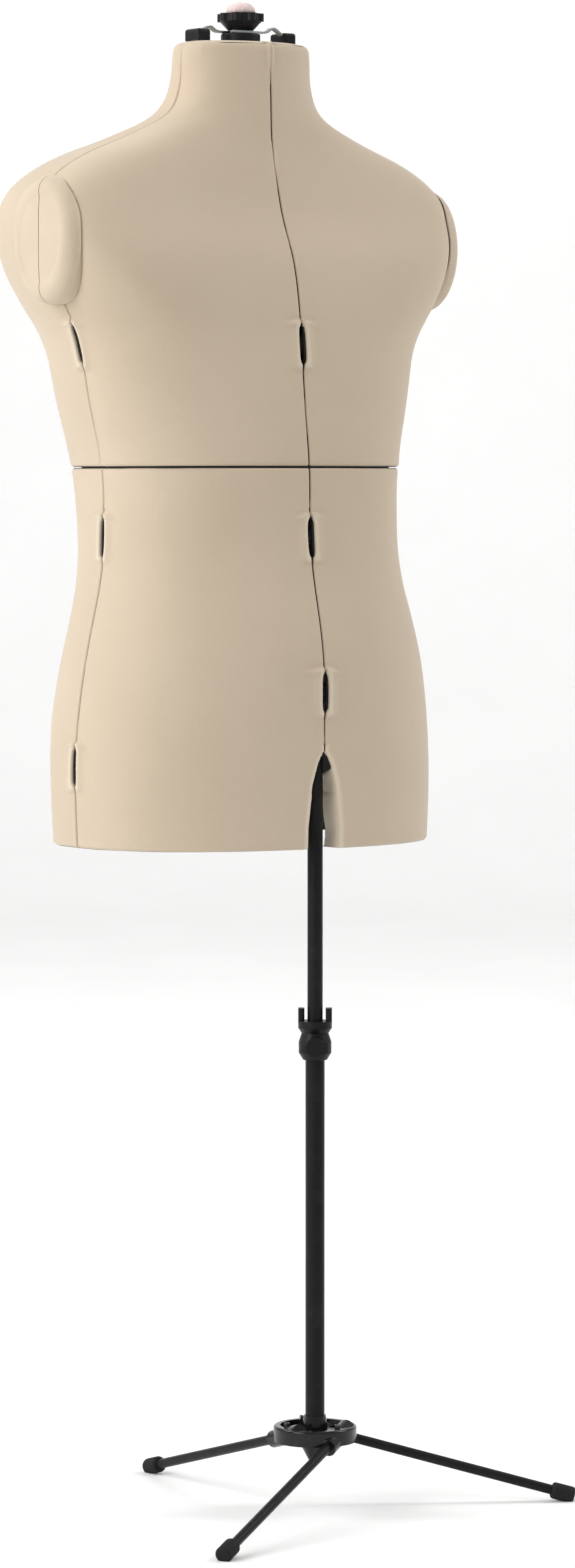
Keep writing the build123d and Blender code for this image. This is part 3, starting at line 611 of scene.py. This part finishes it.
def make_waist_board(material):
    """A thin-rimmed stiffening board on the mast, which the four waist edges close round."""
    outline = []
    half_width, front, back = torso_sizes(WAIST_SEAM_Z)
    for k in range(BOARD_STEPS):
        turn = 2 * pi * k / BOARD_STEPS
        end = "front" if sin(turn) < 0 else "back"
        depth = front if end == "front" else back
        power = 2 / slice_power(end, WAIST_SEAM_Z)
        x = (half_width - BOARD_INSET) * abs(cos(turn)) ** power * (1 if cos(turn) > 0 else -1)
        y = (depth - BOARD_INSET) * abs(sin(turn)) ** power * (1 if sin(turn) > 0 else -1)
        outline.append((x, y))
    turns = [2 * pi * k / BOARD_STEPS for k in range(BOARD_STEPS)]
    hole = [(BOARD_HOLE_R * cos(turn), BOARD_HOLE_R * sin(turn)) for turn in turns]
    middle = (BOARD_LOW_Z + BOARD_HIGH_Z) / 2
    rings = [
        (0.97, middle - BOARD_WEB_HALF),
        (0.985, BOARD_LOW_Z),
        (0.995, BOARD_LOW_Z + 0.001),
        (0.995, BOARD_HIGH_Z - 0.001),
        (0.985, BOARD_HIGH_Z),
        (0.97, middle + BOARD_WEB_HALF),
    ]
    points = []
    for scale, z in rings:
        points += [(x * scale, BODY_Y + y * scale, z) for x, y in outline]
    points += [(x, BODY_Y + y, middle + BOARD_WEB_HALF) for x, y in hole]
    points += [(x, BODY_Y + y, middle - BOARD_WEB_HALF) for x, y in hole]
    count, rows = BOARD_STEPS, len(rings) + 2
    faces = []
    for row in range(rows):
        a, b = row * count, (row + 1) % rows * count
        faces += [(a + k, a + (k + 1) % count, b + (k + 1) % count, b + k) for k in range(count)]
    obj = make_object("waist_board", points, faces, material)
    work = bmesh.new()
    work.from_mesh(obj.data)
    bmesh.ops.recalc_face_normals(work, faces=work.faces)
    work.to_mesh(obj.data)
    work.free()
    mark_sharp(obj, 40)
    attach(obj, "torso_frame")


# ---- materials ----
class Nodes:
    """A material's node tree, with short ways to add a node and join two sockets."""

    def __init__(self, name):
        self.material = bpy.data.materials.new(name)
        self.material.use_nodes = True
        self.tree = self.material.node_tree
        self.shader = self.tree.nodes["Principled BSDF"]
        self.place = self.add("ShaderNodeTexCoord").outputs["Object"]

    def add(self, kind, **settings):
        node = self.tree.nodes.new(kind)
        for key, value in settings.items():
            setattr(node, key, value)
        return node

    def put(self, socket, value):
        if hasattr(value, "is_output"):
            self.tree.links.new(value, socket)
        else:
            socket.default_value = value

    def noise(self, scale, detail=2.0, rough=0.5, at=None, squeeze=None):
        vector = at or self.place
        if squeeze:
            mapping = self.add("ShaderNodeMapping")
            self.put(mapping.inputs["Vector"], vector)
            mapping.inputs["Scale"].default_value = squeeze
            vector = mapping.outputs["Vector"]
        node = self.add("ShaderNodeTexNoise")
        self.put(node.inputs["Vector"], vector)
        node.inputs["Scale"].default_value = scale
        node.inputs["Detail"].default_value = detail
        node.inputs["Roughness"].default_value = rough
        return node.outputs["Fac"]

    def maths(self, kind, a, b=0.0, c=0.0):
        node = self.add("ShaderNodeMath", operation=kind)
        self.put(node.inputs[0], a)
        self.put(node.inputs[1], b)
        self.put(node.inputs[2], c)
        return node.outputs[0]

    def stretch(self, value, low, high, to_low, to_high):
        node = self.add("ShaderNodeMapRange")
        for key, number in zip(
            ("Value", "From Min", "From Max", "To Min", "To Max"), (value, low, high, to_low, to_high)
        ):
            self.put(node.inputs[key], number)
        return node.outputs["Result"]

    def blend(self, share, a, b):
        node = self.add("ShaderNodeMix", data_type="RGBA")
        self.put(node.inputs["Factor"], share)
        self.put(node.inputs[6], (*a, 1) if isinstance(a, tuple) else a)
        self.put(node.inputs[7], (*b, 1) if isinstance(b, tuple) else b)
        return node.outputs[2]

    def bump(self, height, distance, strength=1.0, under=None):
        node = self.add("ShaderNodeBump")
        node.inputs["Strength"].default_value = strength
        node.inputs["Distance"].default_value = distance
        self.put(node.inputs["Height"], height)
        if under:
            self.put(node.inputs["Normal"], under)
        return node.outputs["Normal"]

    def finish(self, color, roughness, normal, **constants):
        self.put(self.shader.inputs["Base Color"], color)
        self.put(self.shader.inputs["Roughness"], roughness)
        self.put(self.shader.inputs["Normal"], normal)
        for key, value in constants.items():
            self.shader.inputs[key.replace("_", " ")].default_value = value
        return self.material


WALE = 0.00135
COURSE = 0.00105


def knit_height(n):
    """Stitch loops of a fine knit, from texture coordinates in metres."""
    split = n.add("ShaderNodeSeparateXYZ")
    n.put(split.inputs[0], n.add("ShaderNodeUVMap", uv_map="cloth").outputs["UV"])
    across, up = split.outputs["X"], split.outputs["Y"]
    wale = n.maths("MULTIPLY", across, 2 * pi / WALE)
    lean = n.maths("MULTIPLY", n.maths("ABSOLUTE", n.maths("SINE", n.maths("MULTIPLY", wale, 0.5))), 1.6)
    course = n.maths("SINE", n.maths("ADD", n.maths("MULTIPLY", up, 2 * pi / COURSE), lean))
    rib = n.maths("COSINE", wale)
    return n.maths("MULTIPLY_ADD", rib, -0.5, n.maths("MULTIPLY", course, 0.4))


def cloth_material():
    n = Nodes("beige_knit")
    patches = n.noise(7, detail=3, rough=0.55)
    tint = n.blend(n.stretch(patches, 0.35, 0.65, 0, 1), (0.560, 0.462, 0.345), (0.590, 0.490, 0.372))
    fibre = n.noise(1400, detail=2)
    fluff = n.stretch(fibre, 0.3, 0.7, 0.35, 0)
    tint = n.blend(fluff, tint, (0.46, 0.365, 0.27))
    # painted highlight: the raised lips of the slots and of the arch are tinted towards a paler cream
    lip_highlight = n.add("ShaderNodeAttribute", attribute_name="lip_highlight").outputs["Fac"]
    tint = n.blend(n.maths("MULTIPLY", lip_highlight, 0.55), tint, (0.74, 0.66, 0.53))
    knit = knit_height(n)
    tint = n.blend(n.stretch(knit, -0.9, 0.2, 0.30, 0), tint, (0.44, 0.345, 0.25))
    fuzz = n.bump(n.noise(2600, detail=3), 0.00012, 0.5)
    waves = n.bump(n.noise(55, detail=2), 0.0009, 0.25, under=fuzz)
    normal = n.bump(knit, 0.00011, 0.55, under=waves)
    rough = n.stretch(fibre, 0.3, 0.7, 0.80, 0.93)
    return n.finish(
        tint, rough, normal, Sheen_Weight=0.22, Sheen_Roughness=0.45, Specular_IOR_Level=0.25
    )


def cap_material():
    n = Nodes("beige_cap_knit")
    patches = n.noise(16, detail=3)
    tint = n.blend(n.stretch(patches, 0.35, 0.65, 0, 1), (0.550, 0.456, 0.345), (0.585, 0.488, 0.374))
    warp = n.add("ShaderNodeTexWave", bands_direction="Y")
    weft = n.add("ShaderNodeTexWave", bands_direction="Z")
    for wave in (warp, weft):
        n.put(wave.inputs["Vector"], n.place)
        wave.inputs["Scale"].default_value = 235
        wave.inputs["Distortion"].default_value = 1.0
        wave.inputs["Detail"].default_value = 1.0
    weave = n.maths("MULTIPLY", warp.outputs["Fac"], weft.outputs["Fac"])
    tint = n.blend(n.stretch(weave, 0.0, 0.5, 0.25, 0), tint, (0.42, 0.33, 0.24))
    fuzz = n.bump(n.noise(2600, detail=3), 0.00012, 0.5)
    normal = n.bump(weave, 0.00012, 0.5, under=fuzz)
    rough = n.stretch(n.noise(900), 0.3, 0.7, 0.82, 0.94)
    return n.finish(
        tint, rough, normal, Sheen_Weight=0.22, Sheen_Roughness=0.45, Specular_IOR_Level=0.25
    )


def felt_material():
    n = Nodes("pink_felt")
    cloud = n.noise(160, detail=4, rough=0.6)
    tint = n.blend(n.stretch(cloud, 0.3, 0.7, 0, 1), (0.66, 0.50, 0.47), (0.78, 0.66, 0.63))
    strands = n.noise(900, detail=4, rough=0.7, squeeze=(1, 1, 0.4))
    tint = n.blend(n.stretch(strands, 0.35, 0.6, 0.3, 0), tint, (0.52, 0.36, 0.34))
    normal = n.bump(strands, 0.0003, 0.7, under=n.bump(cloud, 0.0006, 0.3))
    rough = n.stretch(strands, 0.3, 0.7, 0.85, 0.97)
    return n.finish(tint, rough, normal, Sheen_Weight=0.5, Sheen_Roughness=0.5)


def shell_material():
    n = Nodes("moulded_shell")
    cloud = n.noise(22, detail=4)
    tint = n.blend(n.stretch(cloud, 0.3, 0.7, 0, 1), (0.026, 0.025, 0.023), (0.040, 0.037, 0.034))
    grain = n.noise(800, detail=3)
    normal = n.bump(grain, 0.00008, 0.4, under=n.bump(n.noise(30), 0.0005, 0.2))
    return n.finish(tint, n.stretch(grain, 0.3, 0.7, 0.46, 0.62), normal, Specular_IOR_Level=0.4)


def black_material(name, base, worn, rough, grain_size, grain, coat=0.0):
    """Black plastic, enamel or powder coat: a grained skin, faint dust and a smoother worn tint."""
    n = Nodes(name)
    wear = n.stretch(n.noise(42, detail=6, rough=0.65), 0.52, 0.75, 0, 1)
    dust = n.stretch(n.noise(9, detail=5, rough=0.6), 0.45, 0.75, 0, 0.35)
    tint = n.blend(wear, base, worn)
    tint = n.blend(n.maths("MULTIPLY", dust, 0.08), tint, (0.16, 0.15, 0.14))
    skin = n.noise(grain_size, detail=3)
    scuffs = n.noise(130, detail=5, rough=0.7, squeeze=(1, 1, 0.12))
    normal = n.bump(skin, grain, 0.5, under=n.bump(scuffs, 0.00005, 0.35))
    level = n.stretch(n.maths("MULTIPLY_ADD", scuffs, 0.5, dust), 0.2, 0.65, rough[0], rough[1])
    return n.finish(
        tint, level, normal, Specular_IOR_Level=0.14, Coat_Weight=coat, Coat_Roughness=0.12
    )


def steel_material(name, bright, dull, rough, squeeze):
    """Plated or bare steel: drawn or brushed along one way, with duller patches."""
    n = Nodes(name)
    lines = n.noise(90, detail=5, rough=0.7, squeeze=squeeze)
    spots = n.stretch(n.noise(28, detail=5, rough=0.6), 0.4, 0.7, 0, 1)
    tint = n.blend(spots, bright, dull)
    level = n.stretch(n.maths("MULTIPLY_ADD", spots, 0.35, lines), 0.35, 0.95, rough[0], rough[1])
    normal = n.bump(lines, 0.00006, 0.4)
    return n.finish(tint, level, normal, Metallic=1.0)


def paint_nodes():
    """Gives every CAD node that stays in view its material."""
    black_plastic = black_material(
        "black_nylon", (0.010, 0.010, 0.011), (0.020, 0.020, 0.021), (0.33, 0.52), 700, 0.00008
    )
    casting = black_material(
        "black_enamel", (0.006, 0.006, 0.007), (0.014, 0.014, 0.014), (0.16, 0.34), 240, 0.00012, 0.35
    )
    tube = black_material(
        "black_powder_coat", (0.008, 0.008, 0.009), (0.016, 0.016, 0.017), (0.30, 0.48), 900, 0.00007
    )
    rubber = black_material(
        "black_rubber", (0.014, 0.014, 0.014), (0.030, 0.029, 0.028), (0.62, 0.85), 500, 0.00012
    )
    frame_steel = steel_material(
        "zinc_plated_steel", (0.52, 0.53, 0.55), (0.40, 0.40, 0.40), (0.28, 0.52), (1, 1, 0.08)
    )
    strip_steel = steel_material(
        "spring_steel_strip", (0.42, 0.43, 0.44), (0.31, 0.32, 0.33), (0.26, 0.48), (0.08, 1, 1)
    )
    screw_steel = steel_material(
        "blackened_screws", (0.10, 0.10, 0.11), (0.06, 0.06, 0.06), (0.30, 0.50), (1, 1, 1)
    )
    shell = shell_material()
    kinds = [
        ("_shell", shell), ("_wheel", black_plastic), ("foot_", rubber), ("leg_screws", screw_steel),
        ("leg_", tube), ("_tube", tube), ("base_hub", casting), ("clamp_", black_plastic),
        ("wing_", black_plastic), ("neck_strip", strip_steel), ("neck_bar", black_plastic),
        ("neck_disc", black_plastic), ("neck_knob", black_plastic), ("_carrier", frame_steel),
        ("_hanger", frame_steel), ("pole_bracket", frame_steel), ("centre_mast", frame_steel),
    ]
    for name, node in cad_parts.items():
        material = next((made for part, made in kinds if part in name), shell)
        node.data.materials.clear()
        node.data.materials.append(material)


# ---- floor, light and camera ----
def floor_material():
    n = Nodes("pale_floor")
    cloud = n.noise(3, detail=3)
    tint = n.blend(n.stretch(cloud, 0.3, 0.7, 0, 1), (0.90, 0.90, 0.895), (0.92, 0.92, 0.915))
    normal = n.bump(n.noise(60, detail=3), 0.0004, 0.2)
    return n.finish(tint, n.stretch(cloud, 0.3, 0.7, 0.75, 0.85), normal)


def make_floor():
    """A wide pale floor that curves up far behind the stand."""
    half, far, bend = 9.0, 7.0, 2.5
    run = [(-8.0, 0.0), (far, 0.0)]
    run += [(far + bend * sin(a), bend * (1 - cos(a))) for a in np.linspace(0, pi / 2, 17)[1:]]
    run += [(far + bend, 9.0)]
    facing = radians(CAMERA_TURN)
    points = []
    for along, up in run:
        for across in (-half, half):
            points.append((
                across * cos(facing) + along * sin(facing),
                -across * sin(facing) + along * cos(facing),
                up,
            ))
    faces = [(2 * k, 2 * k + 1, 2 * k + 3, 2 * k + 2) for k in range(len(run) - 1)]
    make_object("floor", points, faces, floor_material())


def area_light(name, place, target, size, power, color=(1, 1, 1)):
    data = bpy.data.lights.new(name, "AREA")
    data.shape, data.size, data.size_y = "RECTANGLE", size[0], size[1]
    data.energy, data.color = power, color
    light = bpy.data.objects.new(name, data)
    bpy.context.scene.collection.objects.link(light)
    light.location = place
    light.rotation_euler = (Vector(target) - Vector(place)).to_track_quat("-Z", "Y").to_euler()


CAMERA_TURN = 34.5
CAMERA_AWAY = 5.2
CAMERA_Z = 1.034
CAMERA_TILT = 3.30
CAMERA_PAN = 0.305
CAMERA_LENS = 119.4


def make_camera():
    data = bpy.data.cameras.new("camera")
    data.lens, data.sensor_width, data.sensor_fit = CAMERA_LENS, 36, "AUTO"
    data.clip_start, data.clip_end = 0.1, 100
    camera = bpy.data.objects.new("camera", data)
    bpy.context.scene.collection.objects.link(camera)
    turn = radians(CAMERA_TURN)
    camera.location = (-CAMERA_AWAY * sin(turn), POLE_Y - CAMERA_AWAY * cos(turn), CAMERA_Z)
    camera.rotation_euler = Euler(
        (radians(90 - CAMERA_TILT), 0, -turn + radians(CAMERA_PAN)), "XYZ"
    )
    bpy.context.scene.camera = camera


def light_scene():
    world = bpy.data.worlds.new("studio")
    bpy.context.scene.world = world
    world.use_nodes = True
    shade = world.node_tree.nodes["Background"]
    shade.inputs["Color"].default_value = (1.0, 1.0, 1.0, 1)
    shade.inputs["Strength"].default_value = 0.50
    facing = radians(CAMERA_TURN)
    right = Vector((cos(facing), -sin(facing), 0))
    ahead = Vector((sin(facing), cos(facing), 0))
    middle = Vector((0, 0, 1.0))
    area_light("key", middle - 2.6 * right - 2.2 * ahead + Vector((0, 0, 1.1)), middle, (1.8, 2.6), 78)
    area_light("fill", middle + 2.8 * right - 2.4 * ahead + Vector((0, 0, 0.3)), middle, (1.6, 2.4), 2)
    area_light("top", middle + 0.4 * ahead + Vector((0, 0, 2.6)), middle, (2.4, 2.4), 18)
    for across in (-4.5, 4.5):
        lamp = middle + across * right + 1.0 * ahead + Vector((0, 0, 3.2))
        wall = middle - 0.1 * across * right + 8.5 * ahead
        area_light(f"wall_{'left' if across < 0 else 'right'}", lamp, wall, (3.0, 3.0), 240)


# ---- the object and its setting ----
cloth = cloth_material()
for panel_level in ("lower", "upper"):
    for panel_end in ("front", "back"):
        for panel_side in ("left", "right"):
            make_panel(panel_level, panel_end, panel_side, cloth)
cap_cloth = cap_material()
for cap_end in ("front", "back"):
    for cap_side in ("left", "right"):
        make_cap(cap_end, cap_side, cap_cloth)
make_cushion(felt_material())
paint_nodes()
make_waist_board(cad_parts["lower_front_left_shell"].data.materials[0])
make_floor()
light_scene()
make_camera()
bpy.context.scene.view_settings.view_transform = "Standard"
